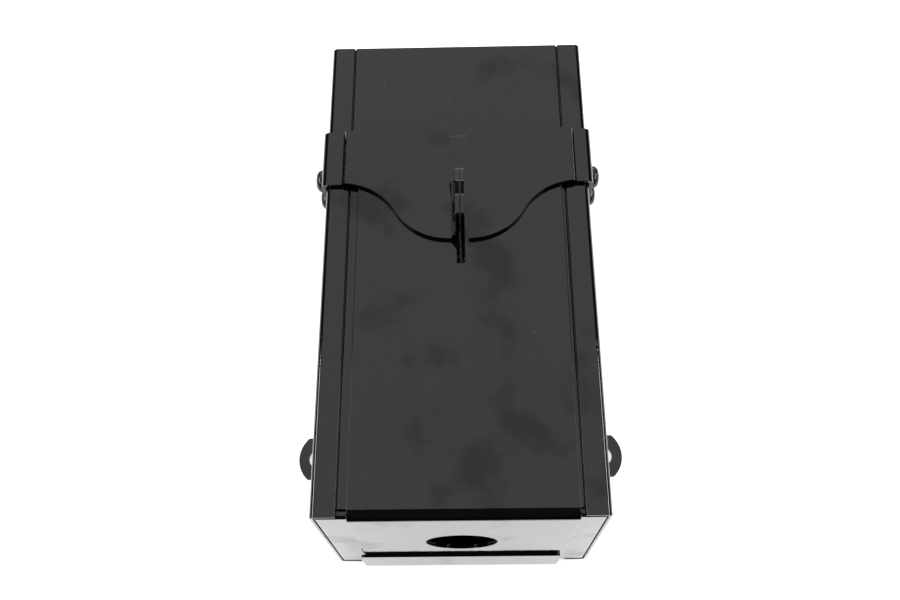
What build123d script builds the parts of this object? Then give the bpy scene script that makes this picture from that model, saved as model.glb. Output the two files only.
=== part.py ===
"""Lockable battery box in folded sheet steel, lying on its back.

X runs across the box, Y along it from the closed end (-Y) to the cap (+Y), and Z from the back (0)
up to the front. The origin is the middle of the box's footprint. All sizes are in millimetres.

The body is two side channels, two flush sheets and an end plate, tied together by a cover panel and
a back panel that lap over the closed end. The cap is built the same way. It slides off along +Y,
between the tongues of the two outer panels and the two collar halves that are screwed to its sides.
"""

import os

from build123d import *

# ---- driving dimensions -------------------------------------------------------------------------
sheet = 1.2                 # thickness of the body's and the cap's sheets
collar_sheet = 1.6          # thickness of the collar and the hasp plates
box_width = 108.0           # outside, over the body's side channels
box_depth = 93.6            # outside, back flanges to front flanges
box_length = 206.5          # closed end to cap end, without the laps
cap_joint = 139.0           # where the body ends, from the closed end
cap_gap = 0.4               # gap between body and cap at the joint
slide_gap = 0.3             # gap between the cap and each tongue, and between collar and body
flange_width = 9.5          # side channel flanges
channel_bend = 2.3          # outside bend radius of the channels
lap_width = 6.6             # flush sheet edge that lies under a flange
joggle_run = 1.0            # sloping step from that edge up to the flush face

cover_width = 83.4          # cover panel
cover_shift = 1.1           # it sits a little to the right
back_width = 83.4           # back panel
back_shift = -0.8           # it sits a little to the left, ears and all
panel_bend = 4.2            # outside bend radius of both panels
tongue_end = 159.0          # both panels reach this far, from the closed end
flap_bottom = 12.0          # lower edge of the cover panel's flap, above the back
back_flange_top = 25.3      # upper edge of the back panel's end flange
cable_hole_radius = 14.0
cable_hole_height = 51.5

ear_place = 46.5            # ears' centre line, from the closed end
ear_width = 19.4
ear_reach = 74.4            # ear tips, from the back panel's middle
ear_tip_radius = 13.2
ear_hole_reach = 65.3
ear_hole_radius = 4.4

collar_far = 161.0          # far edge of the collar, from the closed end
collar_near = 135.5         # near edge of the collar at the sides
collar_tip = 109.4          # near edge of the collar in the middle
collar_shift = 0.8          # the collar's sweep and step sit a little to the right
sweep_from = 48.3           # the near edge's sweep starts this far from its middle
sweep_to = 4.1              # and ends this far from it
collar_gap = 0.35           # space between the cover panel and the collar
collar_step = 1.2           # height of the collar's raised middle over its shoulders
collar_step_at = 47.4       # where that step is, from the same middle
collar_bend = 2.6
collar_leg = 38.0           # how far the legs reach down from the front flanges
leg_corner = 4.0
wide_slot_left = 3.2        # edges of the slot at the collar's far edge, from the middle
wide_slot_right = 5.1
wide_slot_start = 134.4     # where that slot ends, from the closed end
right_half_edge = 4.4       # cut edge of the right half beside the hasp plates

left_tab_face = -0.65       # X of the left face of the tab folded up from the left half
fold_radius = 1.8           # inside radius of that fold
tab_gap = 0.35              # between that tab and the body's hasp plate
tab_top = 8.8               # length of the level top
tab_height = 21.0           # all tab heights are above the cover panel
tab_shoulder = (18.2, 15.6)
tab_far_height = 14.3
tab_hole_at = (9.6, 11.5)
tab_hole_radius = 4.5
tab_corner = 1.0

screw_place = 144.8         # from the closed end
screw_drops = (10.5, 25.0)  # below the front flanges
screw_radius = 2.5
screw_hole_radius = 2.75
screw_length = 12.0
head_radius = 4.75
head_height = 2.75
head_rim = 0.4
head_flat = 2.2             # radius of the flat on top of the head
socket_width = 3.0
socket_depth = 1.6
washer_radius = 5.0
washer_height = 1.0
nut_width = 8.0
nut_height = 4.0
thread_clearance = 0.03

tray_bend = 1.5             # end plate's bend radius
tray_lip = 10.0             # depth of the end plate's inward lips
edge_round = 0.4            # broken edges of the outer sheets

# ---- places worked out from them ----------------------------------------------------------------
half_width = box_width / 2
cap_half_width = half_width + slide_gap     # the collar lies flat on the cap and clears the body
collar_reach = cap_half_width + collar_sheet
back_level = sheet                          # back flanges
front_level = back_level + box_depth        # front flanges
cover_level = front_level + sheet           # top of the cover panel
closed_end = -(box_length - 2 * sheet) / 2  # Y of the body's closed end
cap_end = closed_end + box_length
body_end = closed_end + cap_joint
cap_start = body_end + cap_gap
tab_length = wide_slot_start - collar_tip
collar_level = cover_level + collar_gap + collar_sheet
shoulder_level = collar_level - collar_step
flush_edge = half_width - flange_width      # inner edge of the flanges
screw_levels = [front_level - drop for drop in screw_drops]


def along(distance):
    """Y of a place that is given as a distance from the closed end."""
    return closed_end + distance


def across(y):
    """Plane across the box at y, seen from the closed end: extrusions run towards that end."""
    return Plane.XZ.offset(-y)


def lengthwise(x):
    """Plane along the box at x, with Y to its right: extrusions run towards +X."""
    return Plane.YZ.offset(x)


def save(piece, name):
    piece.part.label = name
    export_step(piece.part, f"parts/{name}.step")


def channel(side, reach, near, far, holes=False):
    """Side channel whose web is at reach from the middle, with a flange at the front and one at the back."""
    with BuildPart() as piece:
        with BuildSketch(across(far)):
            with BuildLine():
                FilletPolyline(
                    (side * flush_edge, front_level),
                    (side * reach, front_level),
                    (side * reach, back_level),
                    (side * flush_edge, back_level),
                    radius=channel_bend,
                )
                offset(amount=sheet, side=Side.RIGHT if side > 0 else Side.LEFT)
            make_face()
        extrude(amount=far - near)
        if holes:
            with BuildSketch(lengthwise(side * reach)):
                with Locations(*[(along(screw_place), level) for level in screw_levels]):
                    Circle(screw_hole_radius)
            extrude(amount=-side * 2 * sheet, mode=Mode.SUBTRACT)
    return piece


def flush_sheet(face, lap_face, near, far):
    """Sheet between the flanges, level with face, whose edges step in and lie under the flanges."""
    inward = 1 if lap_face > face else -1
    lap_edge = flush_edge + lap_width
    with BuildPart() as piece:
        with BuildSketch(across(far)):
            with BuildLine():
                FilletPolyline(
                    (-lap_edge, lap_face),
                    (-flush_edge + sheet / 4, lap_face),
                    (-flush_edge + sheet / 4 + joggle_run, face),
                    (flush_edge - sheet / 4 - joggle_run, face),
                    (flush_edge - sheet / 4, lap_face),
                    (lap_edge, lap_face),
                    radius=0.5,
                )
                offset(amount=sheet, side=Side.LEFT if inward > 0 else Side.RIGHT)
            make_face()
        extrude(amount=far - near)
    return piece


def end_tray(face, inward, reach, hole=False):
    """Shallow tray that closes one end, with its lips inside the channels and the flush sheets."""
    top = front_level - 2 * sheet
    bottom = back_level + 2 * sheet
    width = 2 * (reach - sheet)
    height = top - bottom
    middle = (0, (top + bottom) / 2)
    with BuildPart() as piece:
        with BuildSketch(across(face)):
            with Locations(middle):
                RectangleRounded(width, height, tray_bend)
        extrude(amount=-inward * tray_lip)
        outer_face = piece.faces().sort_by(Axis.Y)[0 if inward > 0 else -1]
        fillet(outer_face.edges(), tray_bend)
        with BuildSketch(across(face + inward * sheet)):
            with Locations(middle):
                RectangleRounded(width - 2 * sheet, height - 2 * sheet, tray_bend - sheet)
        extrude(amount=-inward * tray_lip, mode=Mode.SUBTRACT)
        if hole:
            with BuildSketch(across(face)):
                with Locations((0, cable_hole_height)):
                    Circle(cable_hole_radius)
            extrude(amount=-inward * sheet, mode=Mode.SUBTRACT)
    return piece


# ---- body ---------------------------------------------------------------------------------------
os.makedirs("parts", exist_ok=True)

save(channel(-1, half_width, closed_end, body_end), "side_panel_left")
save(channel(1, half_width, closed_end, body_end), "side_panel_right")

# The flush sheets stop short of the closed end, where the outer panels turn the corner.
sheet_start = closed_end + panel_bend - sheet
save(flush_sheet(front_level, front_level - sheet, sheet_start, body_end), "front_sheet")
save(flush_sheet(back_level, back_level + sheet, sheet_start, body_end), "back_sheet")
save(end_tray(closed_end, 1, half_width, hole=True), "end_plate")

with BuildPart() as cover_panel:
    with BuildSketch(lengthwise(cover_shift - cover_width / 2)):
        with BuildLine():
            FilletPolyline(
                (along(tongue_end), cover_level),
                (closed_end - sheet, cover_level),
                (closed_end - sheet, flap_bottom),
                radius=panel_bend,
            )
            offset(amount=sheet, side=Side.LEFT)
        make_face()
    extrude(amount=cover_width)
    fillet(cover_panel.faces().sort_by(Axis.Z)[-1].edges().filter_by(Axis.Y), edge_round)
    with BuildSketch(across(closed_end)):
        with Locations((0, cable_hole_height)):
            Circle(cable_hole_radius)
    extrude(amount=sheet, mode=Mode.SUBTRACT)
save(cover_panel, "cover_panel")

with BuildPart() as back_panel:
    with BuildSketch(lengthwise(back_shift - back_width / 2)):
        with BuildLine():
            FilletPolyline(
                (along(tongue_end), 0),
                (closed_end - 2 * sheet, 0),
                (closed_end - 2 * sheet, back_flange_top),
                radius=panel_bend,
            )
            offset(amount=sheet, side=Side.RIGHT)
        make_face()
    extrude(amount=back_width)
    top_corners = back_panel.edges().filter_by(Axis.Y).group_by(Axis.Z)[-1]
    fillet(top_corners, 1.5)
    with BuildSketch(Plane((back_shift, 0, 0))):
        for side in (-1, 1):
            with BuildLine():
                root = (side * (back_width / 2 - 1), along(ear_place))
                corner = ear_reach - ear_tip_radius + (ear_tip_radius**2 - (ear_width / 2) ** 2) ** 0.5
                near_corner = (side * corner, root[1] - ear_width / 2)
                far_corner = (side * corner, root[1] + ear_width / 2)
                Polyline((root[0], root[1] + ear_width / 2), far_corner)
                ThreePointArc(far_corner, (side * ear_reach, root[1]), near_corner)
                Polyline(near_corner, (root[0], root[1] - ear_width / 2), (root[0], root[1] + ear_width / 2))
            make_face()
        with Locations((-ear_hole_reach, along(ear_place)), (ear_hole_reach, along(ear_place))):
            Circle(ear_hole_radius, mode=Mode.SUBTRACT)
    extrude(amount=sheet)
save(back_panel, "back_panel")


def tab_outline(x, base):
    """Side view of a hasp plate at x, from base up, with its padlock hole."""
    near = along(collar_tip)
    with BuildSketch(lengthwise(x)) as outline:
        with BuildLine():
            FilletPolyline(
                (near, base),
                (near, cover_level + tab_height),
                (near + tab_top, cover_level + tab_height),
                (near + tab_shoulder[0], cover_level + tab_shoulder[1]),
                (near + tab_length, cover_level + tab_far_height),
                (near + tab_length, base),
                radius=tab_corner,
            )
            Line((near + tab_length, base), (near, base))
        make_face()
        with Locations((near + tab_hole_at[0], cover_level + tab_hole_at[1])):
            Circle(tab_hole_radius, mode=Mode.SUBTRACT)
    return outline.sketch


hasp_outline = tab_outline(left_tab_face + collar_sheet + tab_gap, cover_level)
with BuildPart() as hasp_plate:
    extrude(hasp_outline, amount=collar_sheet)
save(hasp_plate, "hasp_plate")

# ---- cap ----------------------------------------------------------------------------------------
save(channel(-1, cap_half_width, cap_start, cap_end, holes=True), "cap_side_left")
save(channel(1, cap_half_width, cap_start, cap_end, holes=True), "cap_side_right")
save(flush_sheet(front_level - slide_gap, front_level - sheet, cap_start, cap_end), "cap_front_sheet")
save(flush_sheet(back_level + slide_gap, back_level + sheet, cap_start, cap_end), "cap_back_sheet")
save(end_tray(cap_end, -1, cap_half_width), "cap_end_plate")


def collar_half(side, inner_edge, slot_edge, tab=False):
    """Half of the collar: a strip bent over the front and down one side, then cut to its outline.

    Seen from the front, the near edge sweeps in two equal arcs from the side down to the middle.
    inner_edge, beside the hasp plates, and slot_edge, at the far slot, are distances from the box's middle.
    """
    near = along(collar_near)
    tip = along(collar_tip)
    slot_start = along(wide_slot_start)
    far = along(collar_far)
    outer = collar_reach + 1
    sweep_start = (collar_shift + side * sweep_from, near)
    sweep_middle = (collar_shift + side * (sweep_from + sweep_to) / 2, (near + tip) / 2)
    sweep_end = (collar_shift + side * sweep_to, tip)
    with BuildPart() as piece:
        with BuildSketch(across(far)):
            with BuildLine():
                FilletPolyline(
                    (side * inner_edge, collar_level),
                    (collar_shift + side * (collar_step_at - 1), collar_level),
                    (collar_shift + side * (collar_step_at + 1), shoulder_level),
                    (side * collar_reach, shoulder_level),
                    (side * collar_reach, front_level - collar_leg),
                    radius=[2.2, 0.8, collar_bend],
                )
                offset(amount=collar_sheet, side=Side.RIGHT if side > 0 else Side.LEFT)
            make_face()
        extrude(amount=far - tip)
        with BuildSketch():
            with BuildLine():
                first = TangentArc(sweep_start, sweep_middle, tangent=(-side, 0))
                TangentArc(first @ 1, sweep_end, tangent=first % 1)
                Polyline(
                    sweep_end,
                    (side * inner_edge, tip),
                    (side * inner_edge, slot_start),
                    (side * slot_edge, slot_start),
                    (side * slot_edge, far),
                    (side * outer, far),
                    (side * outer, near),
                    sweep_start,
                )
            make_face()
        extrude(amount=2 * box_depth, mode=Mode.INTERSECT)
        fillet(piece.edges().filter_by(Axis.X).group_by(Axis.Z)[0], leg_corner)
        with BuildSketch(lengthwise(side * (collar_reach + 1))):
            with Locations(*[(along(screw_place), level) for level in screw_levels]):
                Circle(screw_hole_radius)
        extrude(amount=-side * 2 * collar_sheet, mode=Mode.SUBTRACT)
        if tab:
            fold_top = collar_level + fold_radius + 1
            with BuildSketch(across(slot_start)):
                with BuildLine():
                    FilletPolyline(
                        (-inner_edge - 1, collar_level),
                        (left_tab_face, collar_level),
                        (left_tab_face, fold_top),
                        radius=fold_radius,
                    )
                    offset(amount=collar_sheet, side=Side.RIGHT)
                make_face()
            extrude(amount=slot_start - tip)
            extrude(tab_outline(left_tab_face, fold_top), amount=collar_sheet)
    return piece


save(collar_half(-1, fold_radius - left_tab_face, wide_slot_left, tab=True), "collar_left")
save(collar_half(1, right_half_edge, wide_slot_right), "collar_right")

# ---- fasteners ----------------------------------------------------------------------------------
under_head = collar_reach + washer_height


with BuildPart() as screw:
    with BuildSketch(Plane.XZ):
        with BuildLine():
            Polyline(
                (0, head_height),
                (0, -screw_length),
                (screw_radius, -screw_length),
                (screw_radius, 0),
                (head_radius, 0),
                (head_radius, head_rim),
            )
            RadiusArc((head_radius, head_rim), (head_flat, head_height), -head_radius * 0.8)
            Line((head_flat, head_height), (0, head_height))
        make_face()
    revolve(axis=Axis.Z)
    with BuildSketch(Plane.XY.offset(head_height)):
        RegularPolygon(socket_width / 2, 6, major_radius=False)
    extrude(amount=-socket_depth, mode=Mode.SUBTRACT)

for side, hand in ((-1, "left"), (1, "right")):
    with BuildPart() as washers:
        with BuildSketch(lengthwise(side * collar_reach)):
            with Locations(*[(along(screw_place), level) for level in screw_levels]):
                Circle(washer_radius)
                Circle(screw_hole_radius, mode=Mode.SUBTRACT)
        extrude(amount=side * washer_height)
    save(washers, f"washers_{hand}")

    with BuildPart() as screws:
        with Locations(
            *[
                Plane((side * under_head, along(screw_place), level), x_dir=(0, 1, 0), z_dir=(side, 0, 0))
                for level in screw_levels
            ]
        ):
            add(screw.part)
    save(screws, f"screws_{hand}")

    with BuildPart() as nuts:
        with BuildSketch(lengthwise(side * (cap_half_width - sheet))):
            with Locations(*[(along(screw_place), level) for level in screw_levels]):
                RegularPolygon(nut_width / 2, 6, major_radius=False)
                Circle(screw_radius + thread_clearance, mode=Mode.SUBTRACT)
        extrude(amount=-side * nut_height)
    save(nuts, f"nuts_{hand}")
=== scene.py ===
"""Lockable battery box in folded sheet steel with a glossy black powder coat, lying on its back on a pale floor.

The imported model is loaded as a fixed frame, and every sheet, plate and fastener is rebuilt in its place with
folded, rounded edges. Lengths are metres, in the frame's own axes: X across the box, Y from the closed end to
the cap, Z from the back to the front.
"""

import math

import bpy
import numpy as np
from bpy.props import FloatProperty, FloatVectorProperty, IntProperty, PointerProperty
from mathutils import Euler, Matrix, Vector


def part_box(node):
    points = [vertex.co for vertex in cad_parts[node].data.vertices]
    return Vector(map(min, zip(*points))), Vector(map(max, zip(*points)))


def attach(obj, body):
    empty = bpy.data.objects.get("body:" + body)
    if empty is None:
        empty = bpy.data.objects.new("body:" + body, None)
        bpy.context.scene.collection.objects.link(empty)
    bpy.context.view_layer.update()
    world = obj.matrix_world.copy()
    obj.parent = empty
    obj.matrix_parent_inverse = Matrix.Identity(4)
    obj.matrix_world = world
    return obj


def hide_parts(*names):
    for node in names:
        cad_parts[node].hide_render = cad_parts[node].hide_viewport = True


bl_info = {
    "name": "Battery box",
    "version": (1, 0, 0),
    "blender": (4, 5, 0),
    "location": "3D View > Sidebar > Battery box",
    "description": "Builds a folded steel battery box with a pull-off cap, collar and hasp",
    "category": "Add Mesh",
}

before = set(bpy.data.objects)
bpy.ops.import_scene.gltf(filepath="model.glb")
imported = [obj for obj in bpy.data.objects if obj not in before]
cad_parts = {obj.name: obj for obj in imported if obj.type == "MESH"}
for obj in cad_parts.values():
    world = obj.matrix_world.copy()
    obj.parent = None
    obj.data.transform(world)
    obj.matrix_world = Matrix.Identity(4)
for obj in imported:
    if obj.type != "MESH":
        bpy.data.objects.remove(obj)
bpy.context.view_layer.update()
MM = 0.001
CAMERA_LENS = 38.685
CAMERA_TURN = (24.27868, 1.25527, -0.30615)
CAMERA_BEFORE_END = 0.07079
CAMERA_RIGHT, CAMERA_HEIGHT = 0.0034646, 0.437539
CARD_HEIGHT = 1.2
FLAG_GAP = 0.075


# ---- properties ----------------------------------------------------------------------------------
def length(name, description, default):
    """A length property in metres, from a default in millimetres."""
    return FloatProperty(
        name=name, description=description, default=default * MM, min=0.0, unit="LENGTH", precision=5)


def colour(name, description, default):
    """A colour property, in linear red, green and blue."""
    return FloatVectorProperty(
        name=name, description=description, default=default, size=3, min=0, max=1, subtype="COLOR")


class BoxSizes(bpy.types.PropertyGroup):
    sheet: length("Sheet", "Thickness of the body's and the cap's sheets", 1.2)
    flange: length("Side flange", "Width of the side channels' flanges", 9.5)
    channel_bend: length("Channel bend", "Outside radius of the side channels' bends", 2.3)
    joggle: length("Step run", "Width of the step from those edges to the flush face", 0.4)
    panel_bend: length("Panel bend", "Outside radius of the cover's and the back's bends", 4.2)
    tray_bend: length("End plate bend", "Outside radius of the end plates' bends", 1.3)
    back_width: length("Back width", "Width of the back panel between the ears", 83.4)
    cable_hole: length("Cable hole radius", "Radius of the hole in the closed end", 14.0)
    cable_hole_height: length("Cable hole height", "Height of its middle above the back", 51.5)
    ear_width: length("Ear width", "Width of each mounting ear", 19.4)
    ear_place: length("Ear place", "Distance of the ears' middle from the closed end", 46.5)
    ear_tip: length("Ear tip radius", "Radius of the ears' rounded tips", 13.2)
    ear_hole: length("Ear hole radius", "Radius of the ears' holes", 4.4)
    ear_hole_reach: length("Ear hole reach", "Distance of the ears' holes from the back panel's middle", 65.3)
    edge: length("Edge rounding", "Rounding that the coat gives to cut edges", 0.3)


class CollarSizes(bpy.types.PropertyGroup):
    sheet: length("Collar sheet", "Thickness of the collar and the hasp plates", 1.6)
    near: length("Near edge", "Near edge of the legs, from the closed end", 135.5)
    shift: length("Shift", "How far the sweep and the step sit to the right", 0.8)
    sweep_from: length("Sweep start", "Where the near edge starts to sweep, from its middle", 48.3)
    sweep_to: length("Sweep end", "Where the sweep ends, from its middle", 4.1)
    step: length("Step", "Height of the raised middle over the shoulders", 1.2)
    step_at: length("Step place", "Distance of the step from the middle", 47.4)
    bend: length("Leg bend", "Outside radius of the bends into the legs", 2.6)
    leg_corner: length("Leg corner", "Radius of the legs' lower corners", 4.0)
    slot_left: length("Slot left", "Left edge of the far slot, from the middle", 3.2)
    slot_right: length("Slot right", "Right edge of the far slot, from the middle", 5.1)
    slot_start: length("Slot start", "Where the far slot ends, from the closed end", 134.4)
    slot_corner: length("Slot corner", "Rounding where the slot meets the far edge", 1.0)
    right_edge: length("Right edge", "Cut edge of the right half beside the hasp, from the middle", 4.4)
    fold: length("Tab fold", "Inside radius of the fold up to the left hasp plate", 1.8)
    tab_top: length("Tab top", "Length of the hasp plates' level top", 8.8)
    shoulder_at: length("Shoulder place", "Where the hasp plates' slope eases, from their near edge", 18.2)
    shoulder: length("Shoulder height", "Height there above the cover panel", 15.6)
    far_height: length("Far height", "Height of the hasp plates' far end above the cover panel", 14.3)
    tab_corner: length("Tab corner", "Rounding of the hasp plates' corners", 1.0)
    tab_hole: length("Padlock hole radius", "Radius of the padlock hole", 4.5)
    tab_hole_at: length("Padlock hole place", "Distance of the padlock hole from the near edge", 9.6)
    tab_hole_height: length("Padlock hole height", "Height of the padlock hole above the cover panel", 11.5)
    screw_hole: length("Screw hole radius", "Radius of the screw holes", 2.75)
    edge: length("Edge rounding", "Rounding of the collar's cut edges", 0.5)


class ScrewSizes(bpy.types.PropertyGroup):
    shank: length("Shank radius", "Radius of the screws' shanks", 2.5)
    head: length("Head height", "Height of the button heads", 2.75)
    flat: length("Head flat", "Radius of the flat on top of the heads", 2.2)
    socket: length("Socket width", "Width across the flats of the hexagon socket", 3.0)
    socket_depth: length("Socket depth", "Depth of the hexagon socket", 1.6)
    turn_steps: IntProperty(name="Round steps", description="Faces around a screw", default=96, min=24, max=192)


class FinishLook(bpy.types.PropertyGroup):
    coat: colour("Coat", "Colour of the powder coat", (0.0016, 0.0016, 0.0020))
    dust: colour("Dust", "Colour of the dust specks", (0.32, 0.31, 0.29))
    screw: colour("Screw", "Colour of the black screws", (0.006, 0.006, 0.006))
    zinc: colour("Zinc", "Colour of the plated nuts", (0.56, 0.57, 0.58))
    floor: colour("Floor", "Colour of the floor", (0.93, 0.93, 0.93))
    peel: FloatProperty(
        name="Orange peel", description="Strength of the coat's gentle waviness", default=0.11, min=0, max=1)


# ---- shapes as numpy arrays ----------------------------------------------------------------------
def folded_path(corners, radii, steps=16):
    """A path through corners whose inner corners are arcs.

    At a corner with turn t and radius r, the arc leaves the straight run at r tan(t/2) before the corner. Its
    centre lies on the bisector, r / cos(t/2) away, and its points turn evenly about it from one run to the next.
    """
    corners = np.asarray(corners, float)
    before, after = corners[:-2] - corners[1:-1], corners[2:] - corners[1:-1]
    before /= np.linalg.norm(before, axis=1, keepdims=True)
    after /= np.linalg.norm(after, axis=1, keepdims=True)
    half = np.arccos(np.clip((before * after).sum(1), -1, 1)) / 2
    radii = np.broadcast_to(np.asarray(radii, float), half.shape)
    bisector = before + after
    bisector /= np.linalg.norm(bisector, axis=1, keepdims=True)
    centre = corners[1:-1] + bisector * (radii / np.sin(half))[:, None]
    turn = np.linspace(-1, 1, steps + 1)[None, :] * (np.pi / 2 - half)[:, None]
    across = after - before
    across /= np.linalg.norm(across, axis=1, keepdims=True)
    arcs = centre[:, None, :] + radii[:, None, None] * (
        np.sin(turn)[..., None] * across[:, None, :] - np.cos(turn)[..., None] * bisector[:, None, :]
    )
    return np.vstack([corners[:1], arcs.reshape(-1, 2), corners[-1:]])


def grid_faces(rows, columns, flip=False, closed=False):
    """Quads between neighbouring rows and columns. closed joins the last column to the first."""
    index = np.arange(rows * columns).reshape(rows, columns)
    if closed:
        index = np.hstack([index, index[:, :1]])
    quads = np.stack([index[:-1, :-1], index[1:, :-1], index[1:, 1:], index[:-1, 1:]], axis=-1)
    quads = quads.reshape(-1, 4)
    return quads[:, ::-1] if flip else quads


def carried(path, stations, plane):
    """A profile carried along a line: point (p, q, station), with p and q on the plane's two axes."""
    p, q = path[:, None, 0], path[:, None, 1]
    s = np.asarray(stations, float)[None, :]
    shape = np.broadcast_shapes(p.shape, s.shape)
    p, q, s = (np.broadcast_to(v, shape) for v in (p, q, s))
    order = {"XZ": (p, s, q), "YZ": (s, p, q)}[plane]
    return np.stack(order, axis=-1)


def turned(radius, height, start, axis_side, place):
    """A profile turned about an axis along X: at angle a it is radius cos a along Y and radius sin a along Z.

    radius may differ with the angle, which gives hexagons. height runs outwards from start, to axis_side.
    """
    count = radius.shape[1]
    angle = np.arange(count) * 2 * np.pi / count
    x = np.broadcast_to(start + axis_side * height[:, None], radius.shape)
    return np.stack([x, place[0] + radius * np.cos(angle), place[1] + radius * np.sin(angle)], axis=-1)


def hexagon(width, count):
    """A hexagon's edge from its middle at each angle: half its width over the cosine to the flat."""
    angle = np.arange(count) * 2 * np.pi / count
    return width / 2 / np.cos((angle + np.pi / 6) % (np.pi / 3) - np.pi / 6)


def eased(distance, radius):
    """How far a corner of that radius draws an edge back at a distance from the other edge."""
    near = np.clip(radius - distance, 0, radius)
    return radius - np.sqrt(radius**2 - near**2)


# ---- Blender objects -----------------------------------------------------------------------------
def solid(name, points, faces):
    """A mesh object at the origin from points and quads, with doubled points merged."""
    mesh = bpy.data.meshes.new(name)
    mesh.from_pydata(points.reshape(-1, 3).tolist(), [], faces.tolist())
    mesh.shade_smooth()
    thing = bpy.data.objects.new(name, mesh)
    bpy.context.scene.collection.objects.link(thing)
    weld = thing.modifiers.new("weld", "WELD")
    weld.merge_threshold = 1e-6
    return thing


def add_modifier(thing, kind, **settings):
    modifier = thing.modifiers.new(kind.lower(), kind)
    for key, value in settings.items():
        setattr(modifier, key, value)
    return modifier


def drill(thing, axis, middle, radius, reach, steps=96):
    """Cuts a round hole: a prism of that radius about the axis (0 for X, 1 for Y, 2 for Z) is taken away."""
    angle = np.arange(steps) * 2 * np.pi / steps
    ring = np.stack([np.cos(angle), np.sin(angle)], axis=-1) * radius
    points = np.zeros((2, steps, 3))
    others = [(axis + 1) % 3, (axis + 2) % 3]
    points[:, :, others[0]] = ring[:, 0] + middle[others[0]]
    points[:, :, others[1]] = ring[:, 1] + middle[others[1]]
    points[:, :, axis] = middle[axis] + np.array([-reach, reach])[:, None]
    side = grid_faces(2, steps, closed=True, flip=True).tolist()
    caps = [list(range(steps))[::-1], list(range(steps, 2 * steps))]
    mesh = bpy.data.meshes.new(thing.name + "_drill")
    mesh.from_pydata(points.reshape(-1, 3).tolist(), [], side + caps)
    mesh.shade_smooth()
    tool = bpy.data.objects.new(thing.name + "_drill", mesh)
    bpy.context.scene.collection.objects.link(tool)
    add_modifier(thing, "BOOLEAN", operation="DIFFERENCE", object=tool, solver="EXACT")
    return tool


def settle(thing, tools=()):
    """Applies the modifiers, so the piece's final shape is in its mesh, and puts the drills away."""
    bpy.context.view_layer.update()
    evaluated = thing.evaluated_get(bpy.context.evaluated_depsgraph_get())
    mesh = bpy.data.meshes.new_from_object(evaluated)
    thing.modifiers.clear()
    old = thing.data
    thing.data = mesh
    mesh.name = thing.name
    bpy.data.meshes.remove(old)
    for tool in tools:
        drill_mesh = tool.data
        bpy.data.objects.remove(tool)
        bpy.data.meshes.remove(drill_mesh)


def sheet_metal(name, points, faces, thickness, node, body, holes=(), edge=None, slot="black_gloss_coat"):
    """A folded sheet: the outer surface is thickened inwards, drilled, and its cut edges are rounded."""
    box = bpy.context.scene.box_sizes
    thing = solid(name, points, faces)
    add_modifier(thing, "SOLIDIFY", thickness=thickness, offset=-1, use_even_offset=True, use_quality_normals=True)
    tools = [drill(thing, *hole) for hole in holes]
    width = box.edge if edge is None else edge
    add_modifier(thing, "DECIMATE", decimate_type="DISSOLVE", angle_limit=math.radians(0.4))
    add_modifier(
        thing, "BEVEL", width=width, segments=4, limit_method="ANGLE", angle_limit=math.radians(40),
        use_clamp_overlap=True, miter_outer="MITER_ARC", face_strength_mode="FSTR_ALL",
    )
    add_modifier(thing, "WEIGHTED_NORMAL", mode="FACE_AREA", weight=100, keep_sharp=True, use_face_influence=True)
    settle(thing, tools)
    return place(thing, node, body, slot)


def place(thing, node, body, slot):
    """Gives the piece its finish and puts it in the CAD node's stead, on that node's body."""
    thing.data.materials.clear()
    thing.data.materials.append(finish_of(slot))
    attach(thing, body)
    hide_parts(node)
    return thing


# ---- finishes ------------------------------------------------------------------------------------
class Socket:
    """A shader value. Arithmetic on it adds Math nodes; numbers alone are worked out before they get here."""

    def __init__(self, tree, link):
        self.tree = tree
        self.link = link

    def math(self, operation, *values):
        return self.tree.node("ShaderNodeMath", {"operation": operation}, dict(enumerate(values)))

    def __add__(self, other):
        return self.math("ADD", self, other)

    __radd__ = __add__

    def __sub__(self, other):
        return self.math("SUBTRACT", self, other)

    def __rsub__(self, other):
        return self.math("SUBTRACT", other, self)

    def __mul__(self, other):
        return self.math("MULTIPLY", self, other)

    __rmul__ = __mul__

    def ramp(self, low, high):
        """0 below low, 1 above high, and an eased slope between."""
        return self.tree.node(
            "ShaderNodeMapRange", {"interpolation_type": "SMOOTHSTEP"},
            {"Value": self, "From Min": low, "From Max": high, "To Min": 0.0, "To Max": 1.0},
        )


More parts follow.
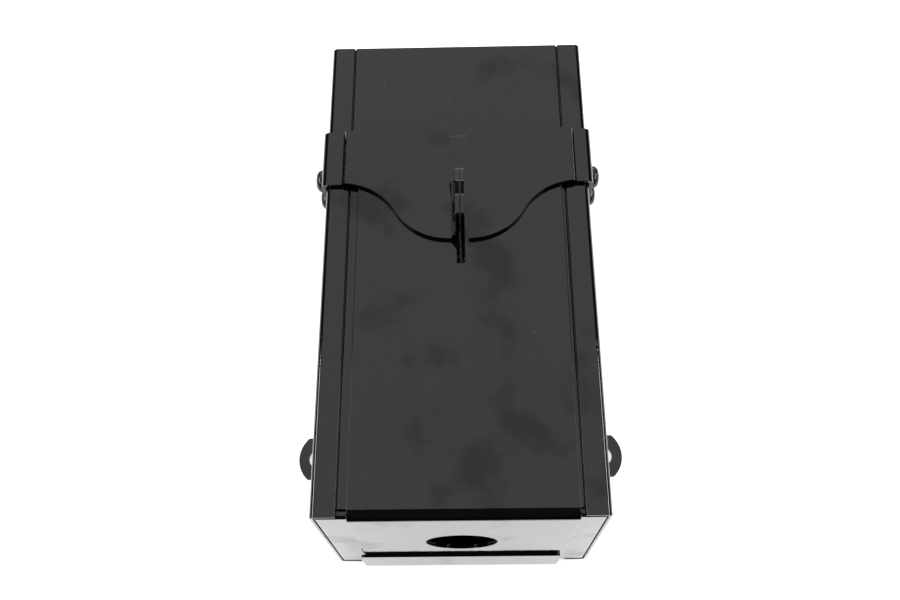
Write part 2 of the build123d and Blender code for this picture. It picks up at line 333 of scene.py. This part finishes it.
class Finish:
    """A material under construction, with one method that adds any node."""

    def __init__(self, name):
        self.material = bpy.data.materials.new(name)
        self.material.use_nodes = True
        self.nodes = self.material.node_tree.nodes
        self.links = self.material.node_tree.links
        self.nodes.clear()

    def node(self, kind, settings=None, inputs=None, output=0):
        made = self.nodes.new(kind)
        for key, value in (settings or {}).items():
            setattr(made, key, value)
        for key, value in (inputs or {}).items():
            if isinstance(value, Socket):
                self.links.new(value.link, made.inputs[key])
            else:
                made.inputs[key].default_value = value
        return Socket(self, made.outputs[output])

    def place(self, scale=(1, 1, 1), move=(0, 0, 0), turn=(0, 0, 0)):
        """Object coordinates in metres, scaled, moved and turned by a Mapping node."""
        where = self.node("ShaderNodeTexCoord", output="Object")
        return self.node(
            "ShaderNodeMapping", None, {"Vector": where, "Scale": scale, "Location": move, "Rotation": turn})

    def noise(self, size, detail=2.0, roughness=0.5, **spot):
        """Even noise whose lumps are about size metres across."""
        where = self.place(scale=(1 / size,) * 3, **spot)
        return self.node(
            "ShaderNodeTexNoise", None,
            {"Vector": where, "Scale": 1.0, "Detail": detail, "Roughness": roughness})

    def cells(self, size, settings=None, **spot):
        """Distance to the nearest of points scattered about size metres apart."""
        where = self.place(scale=(1 / size,) * 3, **spot)
        return self.node("ShaderNodeTexVoronoi", settings, {"Vector": where, "Scale": 1.0})

    def mix(self, factor, a, b):
        """A colour between a and b."""
        return self.node(
            "ShaderNodeMix", {"data_type": "RGBA"}, {0: factor, 6: _rgba(a), 7: _rgba(b)}, output=2
        )

    def bump(self, height, strength, distance, normal=None):
        inputs = {"Height": height, "Strength": strength, "Distance": distance}
        if normal is not None:
            inputs["Normal"] = normal
        return self.node("ShaderNodeBump", None, inputs)

    def surface(self, **inputs):
        values = {
            key.replace("_", " "): _rgba(value) if key.endswith("Color") else value
            for key, value in inputs.items()
        }
        shader = self.node("ShaderNodeBsdfPrincipled", None, values)
        self.node_out(shader)
        return self.material

    def node_out(self, shader):
        end = self.nodes.new("ShaderNodeOutputMaterial")
        self.links.new(shader.link, end.inputs["Surface"])


def _rgba(value):
    return value if isinstance(value, Socket) else (*value, 1.0)


def gloss_coat(look):
    """Black powder coat: a gently wavy film with fine dust, handling smudges and hairline scratches."""
    coat = Finish("powder_coat")
    dust_field = coat.cells(0.0065, {"feature": "F1"})
    dust = 1 - dust_field.ramp(0.016, 0.034)
    dust_share = coat.noise(0.03, 3).ramp(0.5, 0.62)
    dust = dust * dust_share
    smudge = coat.noise(0.030, 3, 0.55, move=(3.1, 1.7, 0.4)).ramp(0.54, 0.70)
    haze = coat.noise(0.012, 5, 0.6)
    scratch_line = coat.node(
        "ShaderNodeTexNoise", None,
        {"Vector": coat.place(scale=(900, 28, 28), turn=(0, 0, 0.5)), "Scale": 1.0, "Detail": 1.0},
    ).ramp(0.755, 0.80)
    scratch = scratch_line * coat.noise(0.02, 2, move=(0, 5, 2)).ramp(0.5, 0.66)
    peel = coat.noise(0.0014, 1.5, 0.4)
    ripple = coat.noise(0.011, 2, 0.5, move=(7, 0, 0))
    grain = coat.noise(0.00055, 1, 0.5)
    film = coat.bump(peel + ripple * 1.6 + grain * 0.10, look.peel, 0.00035)
    film = coat.bump(dust - scratch * 0.6, 0.25, 0.00006, normal=film)
    return coat.surface(
        Base_Color=coat.mix(dust * 0.55 + scratch * 0.12, look.coat, look.dust),
        Coat_Weight=0.32 - 0.30 * smudge, Coat_Roughness=0.04, Coat_IOR=1.5,
        Roughness=0.035 + 0.03 * haze + 0.05 * smudge + 0.4 * dust + 0.12 * scratch,
        Specular_IOR_Level=0.36, IOR=1.5, Normal=film,
    )


def black_screw(look):
    """Black oxide on turned steel: dark, a little rougher, with fine turning marks."""
    steel = Finish("black_oxide")
    grain = steel.noise(0.0007, 2)
    mottle = steel.noise(0.003, 2)
    return steel.surface(
        Base_Color=steel.mix(mottle.ramp(0.4, 0.7) * 0.3, look.screw, (0.03, 0.03, 0.032)),
        Metallic=0.0, Roughness=0.16 + 0.12 * mottle, IOR=1.5, Normal=steel.bump(grain, 0.12, 0.00005),
    )


def zinc_plate(look):
    """Bright zinc plating with cloudy blotches and fine draw marks."""
    zinc = Finish("zinc_plate")
    cloud = zinc.noise(0.0025, 3)
    draw = zinc.noise(0.0006, 2)
    return zinc.surface(
        Base_Color=zinc.mix(cloud, look.zinc, (0.42, 0.43, 0.45)),
        Metallic=1.0, Roughness=0.24 + 0.14 * cloud, Normal=zinc.bump(draw, 0.1, 0.00004),
    )


def finish_of(slot):
    """The finish of a material slot, made once."""
    name, make = {
        "black_gloss_coat": ("powder_coat", gloss_coat),
        "black_screw": ("black_oxide", black_screw),
        "plated_steel": ("zinc_plate", zinc_plate),
    }[slot]
    return bpy.data.materials.get(name) or make(bpy.context.scene.finish_look)


# ---- body and cap sheets -------------------------------------------------------------------------
def channel_shape(node, flange_edge, bend):
    """A side channel: a C-shaped path, flange, web, flange, carried along Y between the node's ends."""
    low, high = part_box(node)
    side = 1 if high.x > 0 else -1
    reach = max(abs(low.x), abs(high.x))
    corners = [
        (side * flange_edge, high.z), (side * reach, high.z),
        (side * reach, low.z), (side * flange_edge, low.z),
    ]
    path = folded_path(corners, bend)
    points = carried(path, np.linspace(low.y, high.y, 7), "XZ")
    return points, grid_faces(*points.shape[:2], flip=side < 0)


def flush_shape(node, flange_edge, box, face_up):
    """A flush sheet: a path whose edges are stepped in by one sheet, carried along Y between the node's ends."""
    low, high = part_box(node)
    face, lap = (high.z, low.z + box.sheet) if face_up else (low.z, high.z - box.sheet)
    step = flange_edge - box.sheet / 4
    corners = [
        (low.x, lap), (-step, lap), (-step + box.joggle, face),
        (step - box.joggle, face), (step, lap), (high.x, lap),
    ]
    path = folded_path(corners, 0.15 * MM, 6)
    points = carried(path, np.linspace(low.y, high.y, 7), "XZ")
    return points, grid_faces(*points.shape[:2], flip=not face_up)


def tray_shape(node, inward, bend):
    """An end plate: rounded rectangles that shrink from the lips' edge, round the bend, to the flat face.

    At a turn t of the bend the outline is drawn in by r (1 - cos t) and lies r (1 - sin t) behind the face. On
    the flat it shrinks evenly to its middle. Each outline is a smaller rectangle's edge pushed out by the radius.
    """
    low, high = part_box(node)
    face, back = (low.y, high.y) if inward > 0 else (high.y, low.y)
    half = np.array([(high.x - low.x) / 2, (high.z - low.z) / 2])
    middle = np.array([(high.x + low.x) / 2, (high.z + low.z) / 2])
    turn = np.linspace(0, np.pi / 2, 9)
    drawn_in = np.concatenate([[0.0], bend * (1 - np.cos(turn))])
    depth = np.concatenate([[abs(back - face)], bend * (1 - np.sin(turn))])
    corners = np.array([(1.0, 1.0), (-1.0, 1.0), (-1.0, -1.0), (1.0, -1.0)])
    along = np.concatenate([np.zeros(9), np.linspace(0, 1, 14)[1:-1]])[None, :, None]
    inner = (corners[:, None] * (1 - along) + np.roll(corners, -1, axis=0)[:, None] * along).reshape(-1, 2)
    swing = np.concatenate([np.linspace(0, 1, 9), np.ones(12)])[None, :] + np.arange(4)[:, None]
    push = np.stack([np.cos(swing * np.pi / 2), np.sin(swing * np.pi / 2)], axis=-1).reshape(-1, 2)
    ring = inner * (half - bend) + (bend - drawn_in)[:, None, None] * push
    shrink = np.linspace(1, 0, 4)[1:, None, None]
    outline = np.concatenate([ring, ring[-1] * shrink])
    depth = np.concatenate([depth, np.zeros(3)])
    y = np.broadcast_to(face + inward * depth[:, None], outline.shape[:2])
    points = np.stack([outline[..., 0] + middle[0], y, outline[..., 1] + middle[1]], axis=-1)
    return points, grid_faces(*points.shape[:2], flip=inward > 0, closed=True)


def cover_shape(node, bend):
    """The cover panel: a path along the front, round the bend and down the closed end, carried across X."""
    low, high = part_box(node)
    path = folded_path([(high.y, high.z), (low.y, high.z), (low.y, low.z)], bend, 24)
    points = carried(path, np.linspace(low.x, high.x, 9), "YZ")
    return points, grid_faces(*points.shape[:2])


def back_shape(node, box):
    """The back panel: a path along the back and up the closed end, with an ear on each side.

    The panel's path is carried across X. An ear is ruled from the panel's edge to its tip, which is an arc: at a
    distance d from the ear's middle line the tip is at reach - r + sqrt(r^2 - d^2).
    """
    low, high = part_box(node)
    middle, half = (low.x + high.x) / 2, box.back_width / 2
    ear_y = low.y + 2 * box.sheet + box.ear_place
    rows = ear_y + np.linspace(-1, 1, 33) * box.ear_width / 2
    flat = np.stack([rows[::-1], np.full(33, low.z)], axis=-1)
    bent = folded_path([(high.y, low.z), (low.y, low.z), (low.y, high.z)], box.panel_bend, 16)
    round_top = 1.5 * MM
    upper = high.z - round_top * (1 - np.sin(np.linspace(0, np.pi / 2, 7)))
    upper = np.stack([np.full(7, low.y), upper], axis=-1)
    path = np.vstack([bent[:1], flat, bent[1:-1], upper])
    panel = carried(path, np.linspace(-half, half, 9), "YZ")
    panel[..., 0] *= (1 - eased(high.z - path[:, 1], round_top) / half)[:, None]
    panel[..., 0] += middle
    tip = high.x - middle - box.ear_tip + np.sqrt(box.ear_tip**2 - (rows - ear_y) ** 2)
    share = np.linspace(0, 1, 7)[None, :]
    reach = half + (tip[:, None] - half) * share
    level = np.full_like(reach, low.z)
    along = np.broadcast_to(rows[:, None], reach.shape)
    ears = [np.stack([middle + side * reach, along, level], axis=-1) for side in (-1, 1)]
    return joined(
        (panel, grid_faces(*panel.shape[:2], flip=True)),
        (ears[0], grid_faces(*reach.shape, flip=True)),
        (ears[1], grid_faces(*reach.shape)),
    )


def tab_profile(near, far, base, collar):
    """The hasp plates' top edge in side view: from near (Y) to far, its heights above base, with eased corners."""
    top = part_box("hasp_plate")[1].z
    corners = [
        (near, base), (near, top), (near + collar.tab_top, top),
        (near + collar.shoulder_at, base + collar.shoulder), (far, base + collar.far_height), (far, base),
    ]
    return folded_path(corners, collar.tab_corner, 8)[1:-1]


def hasp_shape(node, collar):
    """The body's hasp plate: straight lines ruled from its foot up to the top edge."""
    low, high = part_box(node)
    profile = tab_profile(low.y, high.y, low.z, collar)
    share = np.linspace(0, 1, 5)[None, :]
    z = low.z + (profile[:, 1:] - low.z) * share
    y = np.broadcast_to(profile[:, :1], z.shape)
    points = np.stack([np.full_like(z, low.x), y, z], axis=-1)
    return points, grid_faces(*points.shape[:2], flip=True)


def collar_shape(node, collar):
    """Half of the collar: a path over the front and down one side, carried along Y between two shaped edges.

    The near edge sweeps from the side to the middle in two equal arcs: with a half run a and half rise b their
    radius is (a^2 + b^2) / 2b. Its rows divide the way to a middle line, and from there to the far edge, evenly.
    The left half goes on inwards into a fold and the hasp plate, which is ruled up to the top edge.
    """
    low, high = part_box(node)
    side = 1 if high.x > abs(low.x) else -1
    reach = max(abs(low.x), abs(high.x))
    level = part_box("collar_right")[1].z
    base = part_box("cover_panel")[1].z
    closed_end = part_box("side_panel_left")[0].y
    tip, far = low.y, high.y
    near, slot_start = closed_end + collar.near, closed_end + collar.slot_start
    slot = collar.slot_left if side < 0 else collar.slot_right
    shoulder, step_at = level - collar.step, collar.step_at + side * collar.shift
    bends = folded_path(
        [
            (slot, level), (step_at - 0.6 * MM, level), (step_at + 0.6 * MM, shoulder),
            (reach, shoulder), (reach, low.z),
        ],
        [0.6 * MM, 0.5 * MM, collar.bend], 10,
    )
    round_in = slot + collar.slot_corner * (1 - np.cos(np.linspace(0, np.pi / 2, 6)))
    run = np.concatenate([round_in, np.linspace(round_in[-1], bends[1, 0], 70)[1:-1]])
    run = np.stack([run, np.full_like(run, level)], axis=-1)
    round_out = low.z + collar.leg_corner * (1 - np.sin(np.linspace(0, np.pi / 2, 10)))
    leg = np.concatenate([np.linspace(bends[-2, 1], round_out[0], 6)[1:-1], round_out])
    leg = np.stack([np.full_like(leg, reach), leg], axis=-1)
    path = np.vstack([run, bends[1:-1], leg])

    half_run, half_rise = (collar.sweep_from - collar.sweep_to) / 2, (near - tip) / 2
    radius = (half_run**2 + half_rise**2) / (2 * half_rise)
    away = path[:, 0] - side * collar.shift
    out = np.clip(collar.sweep_from - away, 0, half_run)
    inn = np.clip(away - collar.sweep_to, 0, half_run)
    upper = near - radius + np.sqrt(radius**2 - out**2)
    lower = tip + radius - np.sqrt(radius**2 - inn**2)
    leg_end = eased(path[:, 1] - low.z, collar.leg_corner)
    near_edge = np.where(inn < half_run, lower, upper) + leg_end
    far_edge = far - leg_end - eased(path[:, 0] - slot, collar.slot_corner)
    middle = slot_start + (far - slot_start) * 0.5 * np.clip((path[:, 0] - slot) / (reach - slot), 0, 1)

    profile = tab_profile(tip, slot_start, base, collar)
    share = ((profile[:, 0] - tip) / (slot_start - tip))[None, :]
    rows = np.hstack([
        near_edge[:, None] + share * (middle - near_edge)[:, None],
        middle[:, None] + np.linspace(0, 1, 9)[None, 1:] * (far_edge - middle)[:, None],
    ])
    x, z = (np.broadcast_to(v[:, None], rows.shape) for v in path.T)
    sheet = np.stack([side * x, rows, z], axis=-1)

    inner_rows = tip + share * (slot_start - tip)
    if side > 0:
        inside = np.array([(collar.right_edge, level), (slot, level)])
        risers = np.zeros((0, profile.shape[0], 3))
    else:
        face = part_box(node)[1].x - collar.sheet
        turn = np.linspace(np.pi / 2, 0, 13)[:, None]
        inside = collar.fold * np.hstack([1 - np.cos(turn), 1 - np.sin(turn)]) + np.array([(-face, level)])
        inside = np.vstack([inside, (slot, level)])
        foot = level + collar.fold
        climb = np.linspace(1, 0, 5)[:-1, None]
        risers = np.stack([
            np.full((4, len(profile)), face), np.broadcast_to(inner_rows, (4, len(profile))),
            foot + climb * (profile[None, :, 1] - foot),
        ], axis=-1)
    strip = np.stack([
        np.broadcast_to(side * inside[:, :1], (len(inside), len(profile))),
        np.broadcast_to(inner_rows, (len(inside), len(profile))),
        np.broadcast_to(inside[:, 1:], (len(inside), len(profile))),
    ], axis=-1)
    strip = np.concatenate([risers, strip])
    return joined(
        (sheet, grid_faces(*sheet.shape[:2], flip=side < 0)),
        (strip, grid_faces(*strip.shape[:2], flip=side < 0)),
    )


# ---- fasteners -----------------------------------------------------------------------------------
def fastener_places(node):
    """The (Y, Z) places of a node's two fasteners, and their radius, from the node's box."""
    low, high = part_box(node)
    radius = (high.y - low.y) / 2
    middle = (low.y + high.y) / 2
    return [(middle, low.z + radius), (middle, high.z - radius)], radius


def screw_shape(node, sizes):
    """Button-head screws: one profile turned about X. The socket's part of it has a hexagon's radius.

    The dome is a quarter of an ellipse. The thread is a triangle wave in the turn plus the height over the pitch.
    """
    low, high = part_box(node)
    side = 1 if high.x > 0 else -1
    top, tip = (high.x, low.x) if side > 0 else (low.x, high.x)
    places, head = fastener_places(node)
    count = sizes.turn_steps
    hexa = hexagon(sizes.socket, count)[None, :]
    ones = np.ones((1, count))
    dome = np.linspace(np.pi / 2, 0, 12)
    rim = 0.4 * MM
    end = abs(tip - top) - sizes.head
    pitch = 0.8 * MM
    thread_at = np.linspace(1.0 * MM, end - 0.6 * MM, 80)
    wave = np.abs((thread_at[:, None] / pitch + np.arange(count)[None, :] / count) % 1 - 0.5) * 2
    radius = np.vstack([
        0 * ones, 0.55 * hexa, 0.98 * hexa, hexa, hexa + 0.04 * MM, (hexa + 0.12 * MM),
        (sizes.flat + (head - sizes.flat) * np.cos(dome))[:, None] * ones,
        head * ones, (head - 0.12 * MM) * ones, (sizes.shank + 0.25 * MM) * ones, sizes.shank * ones,
        sizes.shank - 0.28 * MM * wave,
        (sizes.shank - 0.45 * MM) * ones, 0 * ones,
    ])
    height = np.concatenate([
        sizes.head - sizes.socket_depth * np.array([1.0, 0.93, 0.88, 0.07, 0.02, 0.0]),
        rim + (sizes.head - rim) * np.sin(dome),
        [0.12 * MM, 0.0, 0.0, -0.25 * MM], -thread_at, [-end, -end],
    ])
    start = top - side * sizes.head
    shapes = [turned(radius, height, start, side, spot) for spot in places]
    return joined(*[(points, grid_faces(*points.shape[:2], flip=side < 0, closed=True)) for points in shapes])


def washer_shape(node, hole, count=96):
    """Flat washers: a rectangle with eased corners, turned about X."""
    low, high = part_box(node)
    side = 1 if high.x > 0 else -1
    start, thick = (low.x if side > 0 else high.x), high.x - low.x
    places, outer = fastener_places(node)
    ease = 0.12 * MM
    path = folded_path(
        [(hole, thick / 2), (hole, thick), (outer, thick), (outer, 0.0), (hole, 0.0), (hole, thick / 2)], ease, 5)
    radius = path[:, :1] * np.ones((1, count))
    shapes = [turned(radius, path[:, 1], start, side, spot) for spot in places]
    return joined(*[(points, grid_faces(*points.shape[:2], flip=side < 0, closed=True)) for points in shapes])


def nut_shape(node, hole, count=96):
    """Hexagon nuts: at each height the radius is the smaller of the hexagon's and a 30 degree cone's."""
    low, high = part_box(node)
    side = 1 if high.x > 0 else -1
    start, thick = (low.x if side > 0 else high.x), high.x - low.x
    _, corner = fastener_places(node)
    spots = fastener_places("screws_left" if side < 0 else "screws_right")[0]
    across = corner * math.sqrt(3)
    rise = np.linspace(0, 1, 8) * 0.7 * MM
    heights = np.concatenate([
        [thick / 2, thick - 0.3 * MM, thick], thick - rise, rise[::-1], [0.0, 0.3 * MM, thick / 2]])
    cone = np.concatenate([[hole, hole, hole + 0.3 * MM], across / 2 * 0.96 + rise * 1.73])
    cone = np.concatenate([cone, cone[:2:-1], [hole + 0.3 * MM, hole, hole]])[:, None]
    radius = np.minimum(hexagon(across, count)[None, :], cone)
    shapes = [turned(radius, heights, start, side, spot) for spot in spots]
    return joined(*[(points, grid_faces(*points.shape[:2], flip=side < 0, closed=True)) for points in shapes])


def joined(*shapes):
    """Several grids as one list of points and faces."""
    flat = [points.reshape(-1, 3) for points, _ in shapes]
    starts = np.cumsum([0] + [len(points) for points in flat[:-1]])
    return np.vstack(flat), np.vstack([faces + start for (_, faces), start in zip(shapes, starts)])


# ---- operators -----------------------------------------------------------------------------------
class Maker(bpy.types.Operator):
    """Shared by the operators below"""

    bl_options = {"REGISTER", "UNDO"}

    def execute(self, context):
        scene = context.scene
        self.make(scene.box_sizes, scene.collar_sizes, scene.screw_sizes, scene.finish_look)
        return {"FINISHED"}


class BOX_OT_side_channels(Maker):
    """Folds the side channels of the body and of the cap"""

    bl_idname = "battery_box.side_channels"
    bl_label = "Side channels"

    def make(self, box, collar, screw, look):
        flange_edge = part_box("side_panel_right")[1].x - box.flange
        for node, body in (
            ("side_panel_left", "body"), ("side_panel_right", "body"),
            ("cap_side_left", "cap"), ("cap_side_right", "cap"),
        ):
            points, faces = channel_shape(node, flange_edge, box.channel_bend)
            holes = []
            if body == "cap":
                hand = "left" if "left" in node else "right"
                x = points[..., 0].min() if hand == "left" else points[..., 0].max()
                spots = fastener_places("screws_" + hand)[0]
                holes = [(0, (x, y, z), collar.screw_hole, 4 * MM) for y, z in spots]
            sheet_metal(node + "_folded", points, faces, box.sheet, node, body, holes)


class BOX_OT_flush_sheets(Maker):
    """Makes the front and back sheets that lie flush between the channels"""

    bl_idname = "battery_box.flush_sheets"
    bl_label = "Flush sheets"

    def make(self, box, collar, screw, look):
        flange_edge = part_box("side_panel_right")[1].x - box.flange
        for node, body, face_up in (
            ("front_sheet", "body", True), ("back_sheet", "body", False),
            ("cap_front_sheet", "cap", True), ("cap_back_sheet", "cap", False),
        ):
            points, faces = flush_shape(node, flange_edge, box, face_up)
            sheet_metal(node + "_flush", points, faces, box.sheet, node, body, edge=0.15 * MM)


class BOX_OT_end_plates(Maker):
    """Makes the plates that close both ends"""

    bl_idname = "battery_box.end_plates"
    bl_label = "End plates"

    def make(self, box, collar, screw, look):
        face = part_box("end_plate")[0].y
        hole = [(1, (0, face, box.cable_hole_height), box.cable_hole, 5 * MM)]
        body_tray = tray_shape("end_plate", 1, box.tray_bend)
        cap_tray = tray_shape("cap_end_plate", -1, box.tray_bend)
        sheet_metal("end_plate_tray", *body_tray, box.sheet, "end_plate", "body", hole)
        sheet_metal("cap_end_tray", *cap_tray, box.sheet, "cap_end_plate", "cap")


class BOX_OT_cover_panel(Maker):
    """Makes the cover panel that laps over the front and the closed end"""

    bl_idname = "battery_box.cover_panel"
    bl_label = "Cover panel"

    def make(self, box, collar, screw, look):
        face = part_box("cover_panel")[0].y
        hole = [(1, (0, face, box.cable_hole_height), box.cable_hole, 2.4 * MM)]
        points, faces = cover_shape("cover_panel", box.panel_bend)
        sheet_metal("cover_panel_bent", points, faces, box.sheet, "cover_panel", "body", hole)


class BOX_OT_back_panel(Maker):
    """Makes the back panel with its two mounting ears"""

    bl_idname = "battery_box.back_panel"
    bl_label = "Back panel"

    def make(self, box, collar, screw, look):
        low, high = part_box("back_panel")
        middle, y = (low.x + high.x) / 2, low.y + 2 * box.sheet + box.ear_place
        holes = [(2, (middle + side * box.ear_hole_reach, y, 0), box.ear_hole, 5 * MM) for side in (-1, 1)]
        points, faces = back_shape("back_panel", box)
        sheet_metal("back_panel_eared", points, faces, box.sheet, "back_panel", "body", holes)


class BOX_OT_hasp_plate(Maker):
    """Makes the hasp plate that is welded to the cover panel"""

    bl_idname = "battery_box.hasp_plate"
    bl_label = "Hasp plate"

    def make(self, box, collar, screw, look):
        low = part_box("hasp_plate")[0]
        spot = (low.x, low.y + collar.tab_hole_at, low.z + collar.tab_hole_height)
        points, faces = hasp_shape("hasp_plate", collar)
        hole = [(0, spot, collar.tab_hole, 3 * MM)]
        sheet_metal("hasp_plate_cut", points, faces, collar.sheet, "hasp_plate", "body", hole)


class BOX_OT_collar(Maker):
    """Makes the two collar halves, with the left one's hasp plate"""

    bl_idname = "battery_box.collar"
    bl_label = "Collar"

    def make(self, box, collar, screw, look):
        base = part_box("hasp_plate")[0]
        padlock = (0, (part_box("collar_left")[1].x - collar.sheet, base.y + collar.tab_hole_at,
                       base.z + collar.tab_hole_height), collar.tab_hole, 1.7 * MM)
        for node, hand in (("collar_left", "left"), ("collar_right", "right")):
            points, faces = collar_shape(node, collar)
            x = points[:, 0].min() if hand == "left" else points[:, 0].max()
            holes = [(0, (x, y, z), collar.screw_hole, 4 * MM) for y, z in fastener_places("screws_" + hand)[0]]
            if hand == "left":
                holes.append(padlock)
            sheet_metal(node + "_swept", points, faces, collar.sheet, node, "cap", holes, edge=collar.edge)


class BOX_OT_fasteners(Maker):
    """Makes the screws, washers and nuts that hold the collar to the cap"""

    bl_idname = "battery_box.fasteners"
    bl_label = "Fasteners"

    def make(self, box, collar, screw, look):
        for hand in ("left", "right"):
            for kind, slot, shape in (
                ("screws", "black_screw", screw_shape("screws_" + hand, screw)),
                ("washers", "black_screw", washer_shape("washers_" + hand, collar.screw_hole)),
                ("nuts", "plated_steel", nut_shape("nuts_" + hand, screw.shank + 0.03 * MM)),
            ):
                node = f"{kind}_{hand}"
                thing = solid(node + "_turned", *shape)
                settle(thing)
                place(thing, node, "cap", slot)
                thing.data.set_sharp_from_angle(angle=math.radians(38))


class BOX_OT_stage(Maker):
    """Lays the floor and sets the lights, the dark flag and the camera"""

    bl_idname = "battery_box.stage"
    bl_label = "Floor, lights and camera"

    def make(self, box, collar, screw, look):
        floor_finish = Finish("floor_paper")
        floor_finish.surface(
            Base_Color=look.floor, Roughness=0.9, Specular_IOR_Level=0.1,
            Emission_Color=(1, 1, 1), Emission_Strength=0.58)
        floor = slab("floor", 3.0, -1.5, 1.5, 0.0, floor_finish.material)
        glow = Finish("backdrop_white")
        glow.node_out(glow.node("ShaderNodeEmission", None, {"Color": (1, 1, 1, 1), "Strength": 1.15}))
        backdrop = dome("backdrop", 6.0, glow.material)
        for ray in ("glossy", "diffuse", "shadow", "transmission", "volume_scatter"):
            setattr(backdrop, "visible_" + ray, False)
        dark = Finish("dark_flag")
        dark.surface(Base_Color=(0, 0, 0), Roughness=1.0, Specular_IOR_Level=0.0)
        flag = slab("dark_flag", 1.6, -1.6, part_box("cover_panel")[0].y - FLAG_GAP, 0.002, dark.material)
        for ray in ("camera", "diffuse", "shadow", "transmission", "volume_scatter"):
            setattr(flag, "visible_" + ray, False)
        world = bpy.data.worlds.new("studio")
        world.use_nodes = True
        world.node_tree.nodes["Background"].inputs["Color"].default_value = (1, 1, 1, 1)
        world.node_tree.nodes["Background"].inputs["Strength"].default_value = 0.05
        bpy.context.scene.world = world
        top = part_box("cover_panel")[1].z
        soft_light("card_over", (0.0, 1.12, top + CARD_HEIGHT), (0.0, 1.12, 0.0), (1.6, 2.5), 1.05)
        soft_light("soft_left", (-0.74, -0.16, 0.68), (0.0, 0.0, 0.05), (1.0, 0.14), 17.0)
        soft_light("soft_right", (0.74, -0.16, 0.68), (0.0, 0.0, 0.05), (1.0, 0.14), 17.0)
        soft_light("soft_far", (0.0, 1.25, 0.72), (0.0, 0.0, 0.05), (0.7, 0.35), 7.0)
        camera_data = bpy.data.cameras.new("camera")
        camera_data.lens = CAMERA_LENS
        camera_data.sensor_width = 36.0
        camera_data.clip_start = 0.01
        camera_data.clip_end = 50
        camera = bpy.data.objects.new("camera", camera_data)
        bpy.context.scene.collection.objects.link(camera)
        closed_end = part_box("side_panel_left")[0].y
        camera.location = (CAMERA_RIGHT, closed_end - CAMERA_BEFORE_END, CAMERA_HEIGHT)
        camera.rotation_euler = Euler([math.radians(angle) for angle in CAMERA_TURN], "XYZ")
        bpy.context.scene.camera = camera
        bpy.context.scene.view_settings.view_transform = "Standard"


def slab(name, width, near, far, level, material):
    """A level rectangle, as a grid over X and Y."""
    x, y = np.meshgrid(np.linspace(-width / 2, width / 2, 3), np.linspace(near, far, 3), indexing="ij")
    points = np.stack([x, y, np.full_like(x, level)], axis=-1)
    thing = solid(name, points, grid_faces(3, 3))
    thing.modifiers.clear()
    thing.data.materials.append(material)
    return thing


def dome(name, radius, material, steps=48):
    """A sphere round the whole set: at tilt t and turn a it is radius (sin t cos a, sin t sin a, cos t)."""
    tilts, turns = np.linspace(0, np.pi, steps // 2), np.arange(steps) * 2 * np.pi / steps
    tilt, turn = np.meshgrid(tilts, turns, indexing="ij")
    points = radius * np.stack([np.sin(tilt) * np.cos(turn), np.sin(tilt) * np.sin(turn), np.cos(tilt)], axis=-1)
    thing = solid(name, points, grid_faces(*tilt.shape, closed=True, flip=True))
    thing.modifiers.clear()
    thing.data.materials.append(material)
    return thing


def soft_light(name, place_at, aim, size, luminance):
    """A rectangular softbox. A panel's luminance times pi times its area is the power it needs."""
    light = bpy.data.lights.new(name, "AREA")
    light.shape = "RECTANGLE"
    light.size, light.size_y = size
    light.energy = luminance * math.pi * size[0] * size[1]
    thing = bpy.data.objects.new(name, light)
    bpy.context.scene.collection.objects.link(thing)
    thing.location = place_at
    direction = np.array(aim) - np.array(place_at)
    direction = direction / np.linalg.norm(direction)
    turn = math.atan2(direction[0], -direction[1]) if abs(direction[2]) < 0.999 else 0.0
    thing.rotation_euler = (math.acos(-direction[2]), 0.0, turn + math.pi if abs(direction[2]) < 0.999 else 0.0)
    thing.visible_camera = False
    return thing


class BOX_PT_panel(bpy.types.Panel):
    """Sizes, colours and pieces of the battery box"""

    bl_idname = "BOX_PT_panel"
    bl_label = "Battery box"
    bl_space_type = "VIEW_3D"
    bl_region_type = "UI"
    bl_category = "Battery box"

    def draw(self, context):
        layout = self.layout
        for group in ("box_sizes", "collar_sizes", "screw_sizes", "finish_look"):
            section = layout.box()
            for key in getattr(context.scene, group).__annotations__:
                section.prop(getattr(context.scene, group), key)
        for maker in MAKERS:
            layout.operator(maker.bl_idname)


MAKERS = (
    BOX_OT_side_channels, BOX_OT_flush_sheets, BOX_OT_end_plates, BOX_OT_cover_panel, BOX_OT_back_panel,
    BOX_OT_hasp_plate, BOX_OT_collar, BOX_OT_fasteners, BOX_OT_stage,
)
GROUPS = {
    "box_sizes": BoxSizes, "collar_sizes": CollarSizes, "screw_sizes": ScrewSizes, "finish_look": FinishLook,
}


def register():
    for name, group in GROUPS.items():
        bpy.utils.register_class(group)
        setattr(bpy.types.Scene, name, PointerProperty(type=group))
    for kind in (*MAKERS, BOX_PT_panel):
        bpy.utils.register_class(kind)


def unregister():
    for kind in (BOX_PT_panel, *reversed(MAKERS)):
        bpy.utils.unregister_class(kind)
    for name, group in GROUPS.items():
        delattr(bpy.types.Scene, name)
        bpy.utils.unregister_class(group)


def main():
    register()
    for maker in MAKERS:
        group, call = maker.bl_idname.split(".")
        getattr(getattr(bpy.ops, group), call)()


if __name__ == "__main__":
    main()
